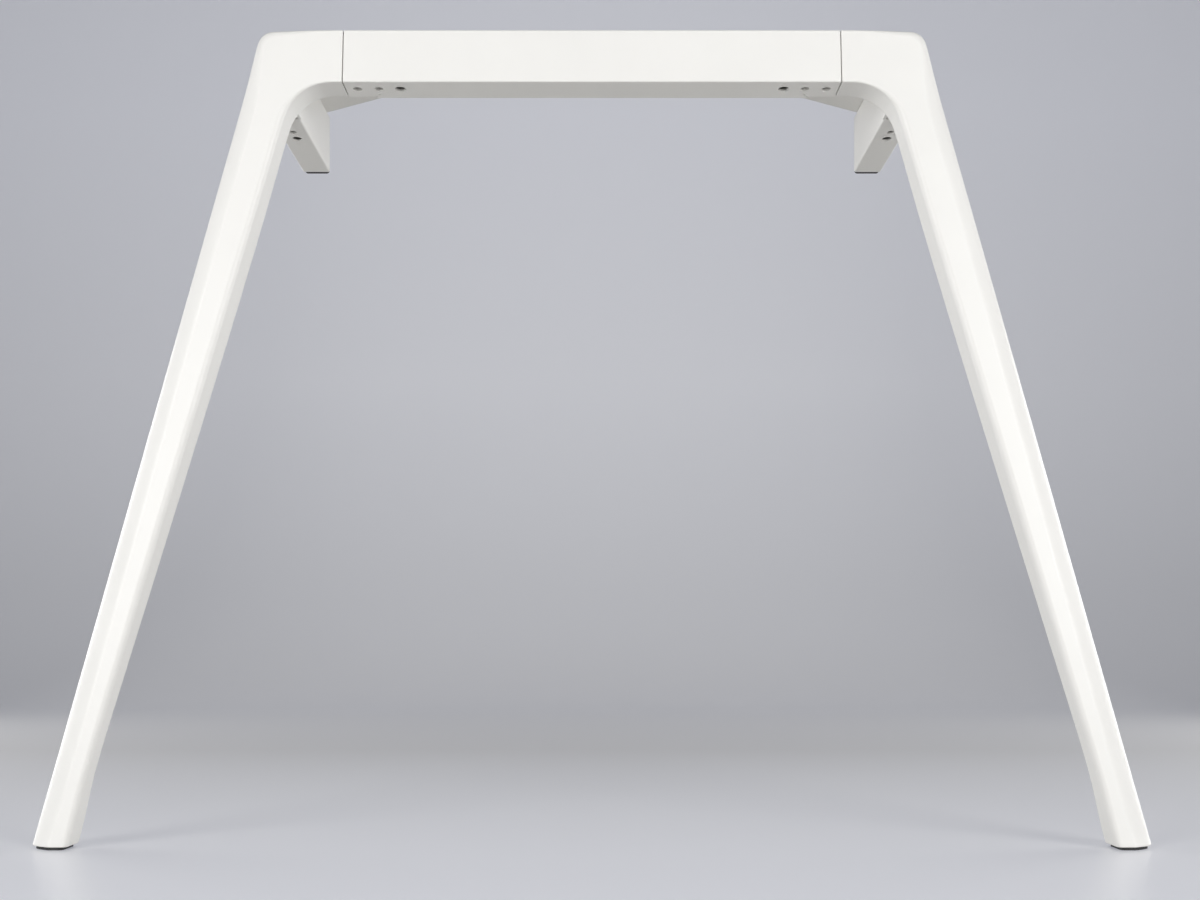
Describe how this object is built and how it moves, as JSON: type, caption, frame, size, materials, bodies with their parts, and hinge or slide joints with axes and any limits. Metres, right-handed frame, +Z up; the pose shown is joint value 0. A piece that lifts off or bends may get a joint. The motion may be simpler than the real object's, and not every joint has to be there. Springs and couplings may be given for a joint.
{
  "type": "desk end frame",
  "caption": "A-shaped end frame for a desk: two splayed cast legs joined by a crossbar, with a rail arm and gusset plate behind each shoulder and a pad under each foot.",
  "frame": {"origin": "on the floor, under the middle of the frame's overall width and depth", "axes": "+X along the crossbar to the viewer's right, +Y from the front faces back along the rail arms, +Z up"},
  "size_m": [0.9792, 0.1634, 0.71],
  "materials": {
    "leg_casting": "white powder coat on die-cast aluminium, satin",
    "bar_profile": "white powder coat on extruded aluminium, satin",
    "bracket_steel": "white powder coat on steel tube and plate, satin",
    "fastener_steel": "bright zinc plated",
    "grub_steel": "black oxide",
    "black_plastic": "moulded, fine grained"
  },
  "bodies": {
    "root": {"crossbar": "bar_profile", "leg_left": "leg_casting", "leg_right": "leg_casting", "spigot_screws_left": "grub_steel", "spigot_screws_right": "grub_steel", "rail_arm_left": "bracket_steel", "rail_arm_right": "bracket_steel", "arm_saddle_left": "bracket_steel", "arm_saddle_right": "bracket_steel", "saddle_bolts_left": "fastener_steel", "saddle_bolts_right": "fastener_steel", "saddle_washers_left": "fastener_steel", "saddle_washers_right": "fastener_steel", "gusset_left": "bracket_steel", "gusset_right": "bracket_steel", "arm_end_cap_left": "black_plastic", "arm_end_cap_right": "black_plastic", "foot_pad_left": "black_plastic", "foot_pad_right": "black_plastic", "foot_pad_screw_left": "fastener_steel", "foot_pad_screw_right": "fastener_steel"}
  },
  "joints": []
}
